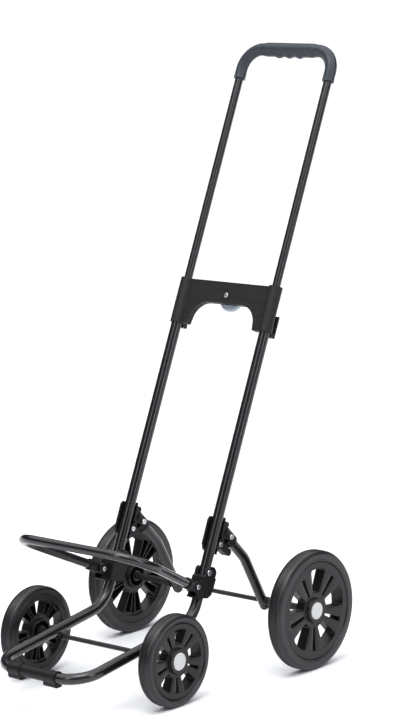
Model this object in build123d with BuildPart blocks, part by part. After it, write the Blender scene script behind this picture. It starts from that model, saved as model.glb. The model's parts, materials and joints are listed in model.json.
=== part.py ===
"""Folding four-wheel trolley frame: telescopic handle, tilting bag platform, fold-in rear legs.

Units are millimetres, +Z up. +Y points to the rear, where the handle leans; the front wheels lie
towards -Y. The origin is on the floor, under the middle of the whole frame.
Right-hand pieces (+X) are modelled and the left-hand ones are their mirror images, except for the
leg brackets, which are the same moulding fitted the same way round on both tubes.
"""
import os
from math import cos, radians, sin

from build123d import *

os.makedirs("parts", exist_ok=True)

# ---------------------------------------------------------------- driving dimensions
# Wheels: radius, width and the distance of the outer face from the middle of the frame
REAR_AXLE_Y = 107.9
WHEELBASE = 289.0
REAR_WHEEL = {"r": 100.0, "w": 26.8, "out": 214.2}
FRONT_WHEEL = {"r": 75.0, "w": 25.2, "out": 165.3}
AXLE_R = 4.0
RUN = 0.05  # radial clearance of a running fit
GAP = 0.35  # clearance between pieces that pass each other

# Tubes
TUBE_X = 97.0  # distance of each main tube from the middle
TUBE_R = 9.0
TUBE_BORE = 7.5
HANDLE_R = 7.0
HANDLE_BORE = 5.8
PLATFORM_R = 7.6
LEG_R = 8.5
LEG_BORE = 7.2
LEAN = 24.55  # lean of the main tubes from the vertical, degrees

# The main tube's lower bend, and the front cross bar
BEND = Vector(0, REAR_AXLE_Y - 180.9, 103.6)
BEND_R = 60.0
NOSE = Vector(94.5, REAR_AXLE_Y - 446.0, 66.2)
NOSE_R = 46.0

# Stations along the main tube, measured up from the lower bend
BLOCK_TOP = 174.0  # top of the leg bracket's stop block
BRIDGE_LOW = 493.6
BRIDGE_TOP = 572.8
GRIP_END = 934.0
GRIP_BAR = 988.0
HANDLE_END = 462.0
HANDLE_CORNER_R = 37.0

# Hinges in the side view: (distance behind the main tube's axis, station along it)
LEG_PIVOT = (15.0, 135.3)
PLATFORM_PIVOT = (-24.3, 56.0)
PLATFORM_RISE = 26.5  # slope of the platform above the horizontal, degrees
PLATFORM_EYE_X = 104.0

LOW_BOLT = (0.0, 84.7)  # bolt through the main tube and the lower bracket
LOCK_STATION = BRIDGE_TOP - 24.0
SHOE_R = 3.0  # nose pin of each lock bar
RIVET_R = 2.5

# ---------------------------------------------------------------- planes and helpers
UP_TUBE = Vector(0, sin(radians(LEAN)), cos(radians(LEAN)))
BEHIND = Vector(0, cos(radians(LEAN)), -sin(radians(LEAN)))


def tube_point(x, station, behind=0.0):
    """A point at a station along the main tube, set off behind its axis."""
    return Vector(x, BEND.Y, BEND.Z) + UP_TUBE * station + BEHIND * behind


def side_plane(x):
    """Side view at x: local X points behind the tube, local Y up the tube, normal +X."""
    return Plane(origin=(x, BEND.Y, BEND.Z), x_dir=BEHIND, z_dir=(1, 0, 0))


def cross_plane(x, station):
    """Across the main tube: local X is +X, local Y points behind it, normal up the tube."""
    return Plane(origin=tube_point(x, station), x_dir=(1, 0, 0), z_dir=UP_TUBE)


def front_plane(behind=0.0):
    """The plane of both main tubes seen from the front: local Y is the station, normal forward."""
    return Plane(origin=tube_point(0, 0, behind), x_dir=(1, 0, 0), z_dir=BEHIND * -1)


def rod(start, end, radius, bore=0.0):
    """A round bar, or a tube where it has a bore, between two points."""
    run = Vector(*end) - Vector(*start)
    with BuildPart() as piece:
        with BuildSketch(Plane(origin=start, z_dir=run)):
            Circle(radius)
            if bore:
                Circle(bore, mode=Mode.SUBTRACT)
        extrude(amount=run.length)
    return piece.part


def bent_tube(points, radii, outer, bore):
    """A tube of round section along straight runs joined by bends."""
    with BuildPart() as piece:
        with BuildLine() as path:
            FilletPolyline(*points, radius=radii)
        with BuildSketch(Plane(origin=path.line @ 0, z_dir=path.line % 0)):
            Circle(outer)
            if bore:
                Circle(bore, mode=Mode.SUBTRACT)
        sweep(path=path.line)
    return piece.part


def cross_bore(spot, radius, hand=1):
    """A round cutter along X through one side of the frame, at a (behind, station) spot."""
    behind, station = spot
    near = tube_point(hand * (TUBE_X - 25), station, behind)
    return rod(near, tube_point(hand * (TUBE_X + 25), station, behind), radius)


def slab(points, x_low, x_high, rounding=0.0):
    """A plate seen from the side: its outline in (behind, station), between two X values."""
    with BuildPart() as plate:
        with BuildSketch(side_plane(x_low)) as outline:
            with BuildLine():
                Polyline(*points, close=True)
            make_face()
            if rounding:
                fillet(outline.vertices(), rounding)
        extrude(amount=x_high - x_low)
    return plate.part


def disc(spot, radius, x_low, x_high):
    """A round plate or boss about an X axis at a (behind, station) spot."""
    behind, station = spot
    return rod(tube_point(x_low, station, behind), tube_point(x_high, station, behind), radius)


def mirrored(part):
    """The left-hand twin of a right-hand piece."""
    with BuildPart() as twin:
        mirror(part, about=Plane.YZ)
    return twin.part


def save(part, node):
    """Label a finished piece and write it as its own STEP file."""
    part.label = node
    export_step(part, f"parts/{node}.step")


def save_pair(part, node):
    """Write a right-hand piece and its left-hand twin as two nodes."""
    save(part, f"{node}_right")
    save(mirrored(part), f"{node}_left")


def save_twins(part, node):
    """Write a piece fitted the same way round on both main tubes as two nodes."""
    with BuildPart() as left:
        with Locations((-2 * TUBE_X, 0, 0)):
            add(part)
    save(part, f"{node}_right")
    save(left.part, f"{node}_left")


def save_both(part, node):
    """Write a right-hand piece and its left-hand twin as one node of identical pieces."""
    with BuildPart() as both:
        add(part)
        add(mirrored(part))
    save(both.part, node)


# ---------------------------------------------------------------- frame tubes and front end
TIE_R = 7.0
COLLAR = (21.0, 48.5)  # right collar's ends; the joint stands a little left of the middle
COLLAR_SHIFT = -8.0  # how much further out the left collar is than the right one's mirror image
LEFT_COLLAR = (-COLLAR[1] + COLLAR_SHIFT, -COLLAR[0] + COLLAR_SHIFT)
MIDDLE_R = TUBE_R + 1.0  # the right collar runs on as a sleeve up to the left collar's lip
NOSE_TUBE_END = 31.0


def frame_route(hand):
    """Corners of one frame tube, from under the bridge down to its joint in the front bar."""
    tube_end = NOSE_TUBE_END if hand > 0 else -NOSE_TUBE_END + COLLAR_SHIFT
    return [
        tube_point(hand * TUBE_X, BRIDGE_TOP - 3),
        (hand * TUBE_X, BEND.Y, BEND.Z),
        (hand * NOSE.X, NOSE.Y, NOSE.Z),
        (tube_end, NOSE.Y, NOSE.Z),
    ]


def frame_tube(hand):
    """One half of the lower frame: main tube, lower bend, side run and half of the front bar."""
    with BuildPart() as piece:
        add(bent_tube(frame_route(hand), [BEND_R, NOSE_R], TUBE_R, TUBE_BORE))
        add(cross_bore(LOW_BOLT, RIVET_R, hand), mode=Mode.SUBTRACT)
        window = (tube_point(0, LOCK_STATION), tube_point(hand * TUBE_X, LOCK_STATION))
        add(rod(*window, SHOE_R + 0.5), mode=Mode.SUBTRACT)
    return piece.part


def foot_collar(start):
    """Moulded collar over a joint of the front bar, with a rest pad under it and a lip at one end."""
    length = COLLAR[1] - COLLAR[0]
    pad_drop = 15.5
    with BuildPart() as collar:
        with BuildSketch(Plane(origin=(start, NOSE.Y, NOSE.Z), x_dir=(0, 1, 0), z_dir=(1, 0, 0))):
            Circle(TUBE_R + 1.6)
            with Locations((0, -pad_drop / 2)):
                Rectangle(15, pad_drop)
        extrude(amount=length - 2.6)
        fillet(collar.edges().filter_by(Axis.X).group_by(Axis.Z)[0], 4)
        fillet(collar.faces().sort_by(Axis.X)[0].edges(), 1.2)
        with BuildSketch(Plane(origin=(start + length - 2.6, NOSE.Y, NOSE.Z), z_dir=(1, 0, 0))):
            Circle(TUBE_R + 2.2)
        extrude(amount=2.6)
        pad_plane = Plane(origin=(start, NOSE.Y, NOSE.Z), x_dir=(0, 1, 0), z_dir=(1, 0, 0))
        with BuildSketch(pad_plane.offset(length - 2.6)):
            with Locations((0, -pad_drop / 2)):
                RectangleRounded(16, pad_drop, 3)
        extrude(amount=2.6)
    return collar.part


def bored_collar(start, hand):
    """A foot collar shaped to its frame tube; the right one carries the sleeve over the tie tube."""
    far = start + COLLAR[1] - COLLAR[0]
    near = start if hand < 0 else LEFT_COLLAR[1] + GAP
    with BuildPart() as collar:
        add(foot_collar(start))
        if hand > 0:
            add(rod((near, NOSE.Y, NOSE.Z), (start + 2, NOSE.Y, NOSE.Z), MIDDLE_R))
        add(bent_tube(frame_route(hand), [BEND_R, NOSE_R], TUBE_R, 0), mode=Mode.SUBTRACT)
        add(rod((near - 1, NOSE.Y, NOSE.Z), (far + 1, NOSE.Y, NOSE.Z), TIE_R), mode=Mode.SUBTRACT)
        if hand < 0:
            mouth = (far - 3.4, NOSE.Y, NOSE.Z)
            add(rod(mouth, (far + 1, NOSE.Y, NOSE.Z), TUBE_R), mode=Mode.SUBTRACT)
    return collar.part


save(frame_tube(1), "frame_tube_right")
save(frame_tube(-1), "frame_tube_left")
save(bored_collar(COLLAR[0], 1), "foot_collar_right")
save(bored_collar(LEFT_COLLAR[0], -1), "foot_collar_left")
tie = rod((LEFT_COLLAR[0] + 9, NOSE.Y, NOSE.Z), (COLLAR[1] - 3, NOSE.Y, NOSE.Z), TIE_R, TIE_R - 1.5)
save(tie, "front_tie_tube")

# ---------------------------------------------------------------- axles
FRONT_AXLE_Y = REAR_AXLE_Y - WHEELBASE
AXLE_SHORT = 4.6  # how far each axle end stays inside the wheel's outer face
SADDLE_HALF = 8.0


def axle(wheel, y):
    """A plain axle that ends just inside the wheels' outer faces."""
    reach = wheel["out"] - AXLE_SHORT
    return rod((-reach, y, wheel["r"]), (reach, y, wheel["r"]), AXLE_R)


save(axle(FRONT_WHEEL, FRONT_AXLE_Y), "front_axle")
save(axle(REAR_WHEEL, REAR_AXLE_Y), "rear_axle")

run_slope = (BEND.Z - NOSE.Z) / (BEND.Y - NOSE.Y)
saddle_tube_z = NOSE.Z + run_slope * (FRONT_AXLE_Y - NOSE.Y)
saddle_x = NOSE.X + (TUBE_X - NOSE.X) * (FRONT_AXLE_Y - NOSE.Y) / (BEND.Y - NOSE.Y)
with BuildPart() as saddle:
    with BuildSketch(Plane.YZ.offset(saddle_x - SADDLE_HALF)):
        with Locations((FRONT_AXLE_Y, FRONT_WHEEL["r"])):
            Circle(7.0)
        with Locations((FRONT_AXLE_Y, (FRONT_WHEEL["r"] + saddle_tube_z) / 2)):
            Rectangle(14, saddle_tube_z - FRONT_WHEEL["r"])
    extrude(amount=2 * SADDLE_HALF)
    run_start = Vector(TUBE_X, BEND.Y, BEND.Z)
    add(rod(NOSE, run_start, TUBE_R), mode=Mode.SUBTRACT)
    split(bisect_by=Plane(origin=(0, 0, saddle_tube_z - 3), z_dir=(0, 0, 1)), keep=Keep.BOTTOM)
    add(
        rod((0, FRONT_AXLE_Y, FRONT_WHEEL["r"]), (200, FRONT_AXLE_Y, FRONT_WHEEL["r"]), AXLE_R),
        mode=Mode.SUBTRACT,
    )
save_pair(saddle.part, "axle_saddle")

# ---------------------------------------------------------------- wheels
RIM_RATIO = 0.82  # rim radius over tyre radius
SPOKE_GROUPS = 5
CAP_R = 14.3
HUB_R = 20.0
BUSH_R = 6.5
RETAINER_R = 8.5
CAP_RECESS = 6.0  # depth of the hub's recess for the cap


def wheel_plane(x, wheel, y):
    """Across a wheel at x: local X is +Y, local Y is up, normal +X."""
    return Plane(origin=(x, y, wheel["r"]), x_dir=(0, 1, 0), z_dir=(1, 0, 0))


def tyre(wheel, y):
    """Solid rubber tyre: rounded shoulders and fine grooves round the tread."""
    r, w = wheel["r"], wheel["w"]
    inner = wheel["out"] - w
    rim_r = r * RIM_RATIO + RUN
    shoulder = 0.26 * w
    with BuildPart() as piece:
        with BuildSketch(Plane(origin=(0, y, r), x_dir=(1, 0, 0), z_dir=(0, -1, 0))) as section:
            with Locations((inner + w / 2, (r + rim_r) / 2)):
                Rectangle(w, r - rim_r)
            fillet(section.vertices().group_by(Axis.Z)[-1], shoulder)
            with Locations([(inner + w / 2 + k * 0.16 * w, r) for k in (-1, 0, 1)]):
                Rectangle(1.0, 1.8, mode=Mode.SUBTRACT)
        revolve(axis=Axis((0, y, r), (1, 0, 0)))
    return piece.part


def spoke_window(mid_angle, half_angle, r_low, r_high, corner):
    """A sector-shaped opening between two spokes, with rounded corners."""
    low, high = mid_angle - half_angle, mid_angle + half_angle
    with BuildSketch() as window:
        with BuildLine():
            CenterArc((0, 0), r_high, low, high - low)
            CenterArc((0, 0), r_low, low, high - low)
            for a in (low, high):
                side = Vector(cos(radians(a)), sin(radians(a)))
                Line(side * r_low, side * r_high)
        make_face()
        fillet(window.vertices(), corner)
    return window.sketch


def spoke_slot(mid_angle, r_low, r_high, w_low, w_high):
    """A narrow slot that splits one spoke: wider towards the rim."""
    with BuildSketch() as slot:
        with BuildLine():
            Polyline(
                (r_low, -w_low / 2),
                (r_high, -w_high / 2),
                (r_high, w_high / 2),
                (r_low, w_low / 2),
                close=True,
            )
        make_face()
        fillet(slot.vertices(), w_low * 0.4)
    return slot.sketch.rotate(Axis.Z, mid_angle)


def wheel_centre(wheel, y):
    """One-piece moulded wheel centre: rim, five split spokes and a hub with a cap recess."""
    r, w, out = wheel["r"], wheel["w"], wheel["out"]
    inner = out - w
    rim_r = r * RIM_RATIO
    k = r / 100
    window = spoke_window(83, 15.5, HUB_R + 9 * k, 70.5 * k, 3.5 * k)
    slot = spoke_slot(47, HUB_R + 8 * k, 67 * k, 3.4 * k, 8 * k)
    with BuildPart() as centre:
        with BuildSketch(wheel_plane(inner + 1.2, wheel, y)):
            Circle(rim_r)
        extrude(amount=w - 2.4)
        with BuildSketch(wheel_plane(out - 1.2, wheel, y)):
            Circle(70.5 * k)
            Circle(HUB_R + 1.5, mode=Mode.SUBTRACT)
        extrude(amount=-3.2, mode=Mode.SUBTRACT)
        with BuildSketch(wheel_plane(inner + 1.2, wheel, y)):
            Circle(70.5 * k)
            Circle(HUB_R + 1.5, mode=Mode.SUBTRACT)
        extrude(amount=4.2, mode=Mode.SUBTRACT)
        with BuildSketch(wheel_plane(inner, wheel, y)):
            with PolarLocations(0, SPOKE_GROUPS):
                add(window)
                add(slot)
        extrude(amount=w, mode=Mode.SUBTRACT)
        with BuildSketch(wheel_plane(inner, wheel, y)):
            Circle(HUB_R)
        extrude(amount=w)
        with BuildSketch(wheel_plane(inner - 1, wheel, y)):
            Circle(BUSH_R)
        extrude(amount=w + 2, mode=Mode.SUBTRACT)
        with BuildSketch(wheel_plane(out, wheel, y)):
            Circle(CAP_R + 0.1)
        extrude(amount=-CAP_RECESS, mode=Mode.SUBTRACT)
    return centre.part


def hub_bush(wheel, y):
    """Plain bearing sleeve pressed into the hub; the axle runs in it."""
    inner = wheel["out"] - wheel["w"]
    return rod(
        (inner - 0.8, y, wheel["r"]),
        (wheel["out"] - CAP_RECESS, y, wheel["r"]),
        BUSH_R,
        AXLE_R + RUN,
    )


def hub_cap(wheel, y):
    """Snap-in cap: shallow domed disc over a skirt that sits in the hub's recess."""
    out = wheel["out"]
    with BuildPart() as cap:
        with BuildSketch(wheel_plane(out - 0.4, wheel, y)):
            Circle(CAP_R)
        extrude(amount=1.9)
        fillet(cap.edges().sort_by(Axis.X)[-1], 1.2)
        with BuildSketch(wheel_plane(out - CAP_RECESS + 1.2, wheel, y)):
            Circle(CAP_R)
            Circle(CAP_R - 1.6, mode=Mode.SUBTRACT)
        extrude(amount=CAP_RECESS - 1.6)
    return cap.part


def axle_retainers(wheel, y):
    """Push-on spring washers that hold both wheels on one axle, under the hub caps."""
    face = wheel["out"] - CAP_RECESS + GAP
    with BuildPart() as washer:
        with BuildSketch(wheel_plane(face, wheel, y)):
            Circle(RETAINER_R)
            Circle(AXLE_R, mode=Mode.SUBTRACT)
        extrude(amount=1.0)
    return washer.part


for spot, wheel, y in (("rear", REAR_WHEEL, REAR_AXLE_Y), ("front", FRONT_WHEEL, FRONT_AXLE_Y)):
    save_pair(tyre(wheel, y), f"{spot}_tyre")
    save_pair(wheel_centre(wheel, y), f"{spot}_wheel_centre")
    save_pair(hub_bush(wheel, y), f"{spot}_hub_bush")
    save_pair(hub_cap(wheel, y), f"{spot}_hub_cap")
    save_both(axle_retainers(wheel, y), f"{spot}_axle_retainers")

# ---------------------------------------------------------------- bridge with the handle's lock
SLEEVE_R = 11.7
GUIDE_CAP = 18.0  # length of the closed ring at each sleeve's top
PLATE_FRONT = 4.5
PLATE_BACK = 7.5
ARCH_HALF = 72.0
PLATE_DEPTH = 38.0  # how far the plate reaches down from the bridge's top
CHANNEL = {"front": -2.0, "back": 5.0, "half": 6.5}
CAM_LONG = 13.6
CAM_SHORT = 11.5
SPINDLE_R = 5.0
BAR_INNER = CAM_LONG + 0.4
BAR_OUTER = TUBE_X - TUBE_R - 0.5
PIN_ROOT = 0.5  # how far the nose pin is sunk in its bar
BAR_TRAVEL = 2.1


def bridge_outline(grow=0.0):
    """Plate between the sleeves: straight top, arched underside that runs down into both webs."""
    low = BRIDGE_TOP - PLATE_DEPTH
    foot = BRIDGE_LOW + 0.5
    arc_r = 34.0
    with BuildSketch(front_plane(-PLATE_FRONT)) as outline:
        with BuildLine():
            Polyline(
                (TUBE_X, BRIDGE_TOP - 1),
                (-TUBE_X, BRIDGE_TOP - 1),
                (-TUBE_X, foot),
                (-ARCH_HALF, foot),
                (-ARCH_HALF + 6, low),
                (ARCH_HALF - 6, low),
                (ARCH_HALF, foot),
                (TUBE_X, foot),
                close=True,
            )
        make_face()
        arch = outline.vertices().filter_by(lambda v: abs(v.X) < ARCH_HALF - 5)
        fillet(arch, arc_r)
    return outline.sketch


def lock_channel():
    """The hollow in the bridge for the lock bars, cam and spindle."""
    depth = CHANNEL["back"] - CHANNEL["front"]
    with BuildPart() as channel:
        with BuildSketch(cross_plane(0, LOCK_STATION - CHANNEL["half"])):
            with Locations((0, (CHANNEL["back"] + CHANNEL["front"]) / 2)):
                Rectangle(2 * TUBE_X, depth)
        extrude(amount=2 * CHANNEL["half"])
        with BuildSketch(front_plane(CHANNEL["back"])):
            with Locations((0, LOCK_STATION)):
                Circle(CAM_LONG + 0.8)
        extrude(amount=depth)
    return channel.part


with BuildPart() as bridge:
    extrude(bridge_outline(), amount=PLATE_FRONT + PLATE_BACK, dir=BEHIND)
    for x in (-TUBE_X, TUBE_X):
        with BuildSketch(cross_plane(x, BRIDGE_LOW)):
            Circle(SLEEVE_R)
        extrude(amount=BRIDGE_TOP - BRIDGE_LOW)
    fillet(bridge.faces().sort_by(Axis((0, 0, 0), UP_TUBE))[-1].edges(), 0.8)
    for x in (-TUBE_X, TUBE_X):
        with BuildSketch(cross_plane(x, BRIDGE_LOW - 1)):
            with Locations((0, SLEEVE_R + 2)):
                Rectangle(2.4 * SLEEVE_R, 9)
        extrude(amount=BRIDGE_TOP - BRIDGE_LOW - GUIDE_CAP + 1, mode=Mode.SUBTRACT)
    for x in (-TUBE_X, TUBE_X):
        with BuildSketch(cross_plane(x, BRIDGE_LOW - 1)):
            Circle(TUBE_R)
        extrude(amount=BRIDGE_TOP - 3 - BRIDGE_LOW + 1, mode=Mode.SUBTRACT)
        with BuildSketch(cross_plane(x, BRIDGE_LOW)):
            Circle(HANDLE_R + RUN)
        extrude(amount=BRIDGE_TOP - BRIDGE_LOW + 1, mode=Mode.SUBTRACT)
    add(lock_channel(), mode=Mode.SUBTRACT)
    for hand in (-1, 1):
        pin_inner = hand * (BAR_OUTER - PIN_ROOT - BAR_TRAVEL - 0.5)
        pin_path = (tube_point(pin_inner, LOCK_STATION), tube_point(hand * TUBE_X, LOCK_STATION))
        add(rod(*pin_path, SHOE_R + 0.4), mode=Mode.SUBTRACT)
    with BuildSketch(front_plane(-PLATE_FRONT)):
        with Locations((0, LOCK_STATION)):
            Circle(9)
    extrude(amount=-0.8, mode=Mode.SUBTRACT)
    with BuildSketch(front_plane(-PLATE_FRONT)):
        with Locations((0, LOCK_STATION)):
            Circle(RIVET_R + RUN)
    extrude(amount=-20, mode=Mode.SUBTRACT)
    with BuildSketch(front_plane(CHANNEL["back"] - 1)):
        with Locations((0, LOCK_STATION)):
            Circle(SPINDLE_R + RUN)
    extrude(amount=-20, mode=Mode.SUBTRACT)

PARTING = 1.5  # the parting plane of the two bridge shells, behind the tubes' axes
with BuildPart() as bridge_front:
    add(bridge.part)
    split(bisect_by=front_plane(PARTING), keep=Keep.TOP)
with BuildPart() as bridge_rear:
    add(bridge.part)
    split(bisect_by=front_plane(PARTING), keep=Keep.BOTTOM)
save(bridge_front.part, "bridge_front_shell")
save(bridge_rear.part, "bridge_rear_shell")

HOOK_HALF = 7.0
with BuildPart() as bag_hook:
    with BuildSketch(side_plane(TUBE_X)) as hook_side:
        with BuildLine():
            Polyline(
                (9.3, BRIDGE_LOW + 14),
                (9.3, BRIDGE_LOW - 5),
                (20.5, BRIDGE_LOW - 5),
                (20.5, BRIDGE_LOW + 33),
                (17.3, BRIDGE_LOW + 33),
                (17.3, BRIDGE_LOW + 2),
                (11.9, BRIDGE_LOW + 2),
                (11.9, BRIDGE_LOW + 14),
                close=True,
            )
        make_face()
        fillet(hook_side.vertices(), 1.0)
    extrude(amount=HOOK_HALF, both=True)
    add(
        rod(tube_point(TUBE_X, BRIDGE_LOW - 9), tube_point(TUBE_X, BRIDGE_TOP), TUBE_R),
        mode=Mode.SUBTRACT,
    )
save_pair(bag_hook.part, "bag_hook")

with BuildPart() as guide_bush:
    with BuildSketch(cross_plane(TUBE_X, BRIDGE_TOP - 33)):
        Circle(TUBE_BORE)
        Circle(HANDLE_R + RUN, mode=Mode.SUBTRACT)
    extrude(amount=29)
    with BuildSketch(cross_plane(TUBE_X - TUBE_BORE, LOCK_STATION - 5)):
        Rectangle(8, 10)
    extrude(amount=10, mode=Mode.SUBTRACT)
save_both(guide_bush.part, "handle_guide_bushes")

# ---------------------------------------------------------------- the handle's lock
KNOB_R = 24.0
KNOB_FRONT = 8.1
KNOB_BACK = 16.5
CAM_FRONT = CHANNEL["front"] + 0.5
CAM_BACK = CHANNEL["back"] - 0.5
SEAT = -PLATE_FRONT + 0.8  # floor of the screw's recess


def knob_plane(behind):
    """In the tubes' plane at the lock's axis, seen from the front."""
    return Plane(origin=tube_point(0, LOCK_STATION, behind), x_dir=(1, 0, 0), z_dir=BEHIND * -1)


with BuildPart() as knob:
    with BuildSketch(knob_plane(KNOB_BACK)):
        Circle(KNOB_R)
    extrude(amount=KNOB_BACK - KNOB_FRONT)
    fillet(knob.edges().filter_by(GeomType.CIRCLE), 2.2)
    with BuildSketch(knob_plane(KNOB_BACK + 6)):
        SlotOverall(2 * KNOB_R - 8, 8)
    extrude(amount=8)
    with BuildSketch(knob_plane(KNOB_FRONT + 0.5)):
        Circle(SPINDLE_R)
    extrude(amount=KNOB_FRONT + 0.5 - CAM_BACK - 0.1)
    with BuildSketch(knob_plane(CAM_BACK - 1)):
        Circle(RIVET_R)
    extrude(amount=-9, mode=Mode.SUBTRACT)
save(knob.part, "lock_knob")

with BuildPart() as cam:
    with BuildSketch(knob_plane(CAM_BACK)):
        Ellipse(CAM_LONG, CAM_SHORT)
        Circle(RIVET_R, mode=Mode.SUBTRACT)
    extrude(amount=CAM_BACK - CAM_FRONT)
save(cam.part, "lock_cam")

with BuildPart() as lock_screw:
    with BuildSketch(knob_plane(CAM_BACK + 7.5)):
        Circle(RIVET_R)
    extrude(amount=CAM_BACK + 7.5 - SEAT + 1.3)
    with BuildSketch(knob_plane(SEAT - 1.1)):
        Circle(4.3)
    extrude(amount=2.2)
    fillet(lock_screw.faces().sort_by(Axis((0, 0, 0), BEHIND))[0].edges(), 1.2)
    with BuildSketch(knob_plane(SEAT - 3.4)):
        Rectangle(4.0, 0.9)
        Rectangle(0.9, 4.0)
    extrude(amount=-1.6, mode=Mode.SUBTRACT)
save(lock_screw.part, "lock_screw")

with BuildPart() as washer:
    with BuildSketch(knob_plane(SEAT)):
        Circle(5.6)
        Circle(RIVET_R + RUN, mode=Mode.SUBTRACT)
    extrude(amount=1.0)
save(washer.part, "lock_washer")

with BuildPart() as lock_bar:
    with BuildSketch(cross_plane((BAR_INNER + BAR_OUTER) / 2, LOCK_STATION - 5.5)):
        with Locations((0, (CAM_FRONT + CAM_BACK) / 2)):
            Rectangle(BAR_OUTER - BAR_INNER, CAM_BACK - CAM_FRONT)
    extrude(amount=11)
    pin_root = tube_point(BAR_OUTER - PIN_ROOT, LOCK_STATION)
    add(rod(pin_root, tube_point(TUBE_X - HANDLE_R - GAP, LOCK_STATION), SHOE_R))
save_pair(lock_bar.part, "lock_bar")

# ---------------------------------------------------------------- handle
handle_route = [
    tube_point(-TUBE_X, HANDLE_END),
    tube_point(-TUBE_X, GRIP_BAR),
    tube_point(TUBE_X, GRIP_BAR),
    tube_point(TUBE_X, HANDLE_END),
]
save(bent_tube(handle_route, HANDLE_CORNER_R, HANDLE_R, HANDLE_BORE), "handle_tube")

with BuildPart() as slide_plug:
    with BuildSketch(cross_plane(TUBE_X, HANDLE_END - 4)):
        Circle(TUBE_BORE - RUN)
    extrude(amount=26)
    with BuildSketch(cross_plane(TUBE_X, HANDLE_END)):
        Circle(HANDLE_R)
    extrude(amount=30, mode=Mode.SUBTRACT)
save_both(slide_plug.part, "handle_slide_plugs")

GRIP_R = 10.4
GRIP_BAR_R = 11.8
GRIP_BULGE = 52.0  # half length of the thicker middle
RIDGE_PITCH = 22.5
grip_route = [
    tube_point(-TUBE_X, GRIP_END),
    tube_point(-TUBE_X, GRIP_BAR),
    tube_point(TUBE_X, GRIP_BAR),
    tube_point(TUBE_X, GRIP_END),
]
with BuildPart() as grip:
    add(bent_tube(grip_route, HANDLE_CORNER_R, GRIP_R, 0))
    bar_plane = Plane(origin=tube_point(0, GRIP_BAR), x_dir=(1, 0, 0), z_dir=BEHIND)
    with BuildSketch(bar_plane):
        with BuildLine():
            Polyline(
                (-GRIP_BULGE - 8, 0),
                (-GRIP_BULGE - 8, GRIP_R - 0.1),
                (-GRIP_BULGE, GRIP_BAR_R),
                (GRIP_BULGE, GRIP_BAR_R),
                (GRIP_BULGE + 8, GRIP_R - 0.1),
                (GRIP_BULGE + 8, 0),
                close=True,
            )
        make_face()
    revolve(axis=Axis(tube_point(0, GRIP_BAR), (1, 0, 0)))
    for k in (-1, 0, 1):
        with BuildSketch(
            Plane(
                origin=tube_point(k * RIDGE_PITCH, GRIP_BAR - GRIP_BAR_R + 2, -8),
                x_dir=(1, 0, 0),
                z_dir=BEHIND,
            )
        ):
            Circle(4.6)
        extrude(amount=16)
    add(bent_tube(grip_route, HANDLE_CORNER_R, HANDLE_R, 0), mode=Mode.SUBTRACT)
save(grip.part, "grip")

# ---------------------------------------------------------------- brackets on the main tube
WRAP = 11.5  # half width of each bracket across the tube
LEG_START = (16.9, 158.4)  # (behind, station) of the rear leg's upper end
LEG_KNEE = Vector(TUBE_X, REAR_AXLE_Y - 44.0, 182.8)
leg_top = tube_point(TUBE_X, LEG_START[1], LEG_START[0])
LEG_RUN = (LEG_KNEE - leg_top).normalized()
run_behind = LEG_RUN.dot(BEHIND)
run_station = LEG_RUN.dot(UP_TUBE)
HUB_R_LEG = 6.5
LUG_HALF = 4.0
FORK_HALF = 7.0


def along_leg(distance, offset=0.0):
    """(behind, station) of a point along the leg's upper run, set off above its axis."""
    return (
        LEG_START[0] + run_behind * distance - run_station * offset,
        LEG_START[1] + run_station * distance + run_behind * offset,
    )


main_tube_cutter = rod(tube_point(TUBE_X, 20), tube_point(TUBE_X, 300), TUBE_R)
stop_low = along_leg(0, -11.5)
stop_high = along_leg(0, 12.5)
with BuildPart() as high_bracket:
    wall = [
        (-11, 129), (-11.5, 171), (-8, 176.5), (9, 176.5), (10, BLOCK_TOP), (10.2, 118), (4, 116), (-6, 121),
    ]
    add(slab(wall, TUBE_X - WRAP, TUBE_X - TUBE_R + 1.5))
    add(slab([(2, 117), (10.2, 117), (10.2, 128), (2, 128)], TUBE_X - 9, TUBE_X + 8))
    block = [(2, stop_low[1]), stop_low, stop_high, (18.5, BLOCK_TOP), (2, BLOCK_TOP)]
    add(slab(block, TUBE_X - 10, TUBE_X + 9.5))
    nub = [(9, BLOCK_TOP - 1), (9, 179.5), (13.2, 179.5), (14.4, BLOCK_TOP - 1)]
    add(slab(nub, TUBE_X - 5, TUBE_X + 6))
    lug = [
        (2, 117), (10.2, 117), (10.2, 129.3), (15, 129.3), (15, 141.3), (10.2, 142), (10.2, 150), (2, 150),
    ]
    add(slab(lug, TUBE_X - LUG_HALF, TUBE_X + LUG_HALF))
    add(disc(LEG_PIVOT, 6.0, TUBE_X - LUG_HALF, TUBE_X + LUG_HALF))
    open_side = [(-TUBE_R, 100), (-TUBE_R, 200), (TUBE_R, 200), (TUBE_R, 100)]
    add(slab(open_side, TUBE_X, TUBE_X + 20), mode=Mode.SUBTRACT)
    add(main_tube_cutter, mode=Mode.SUBTRACT)
    add(cross_bore(LEG_PIVOT, RIVET_R), mode=Mode.SUBTRACT)
save_twins(high_bracket.part, "leg_bracket")

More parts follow.
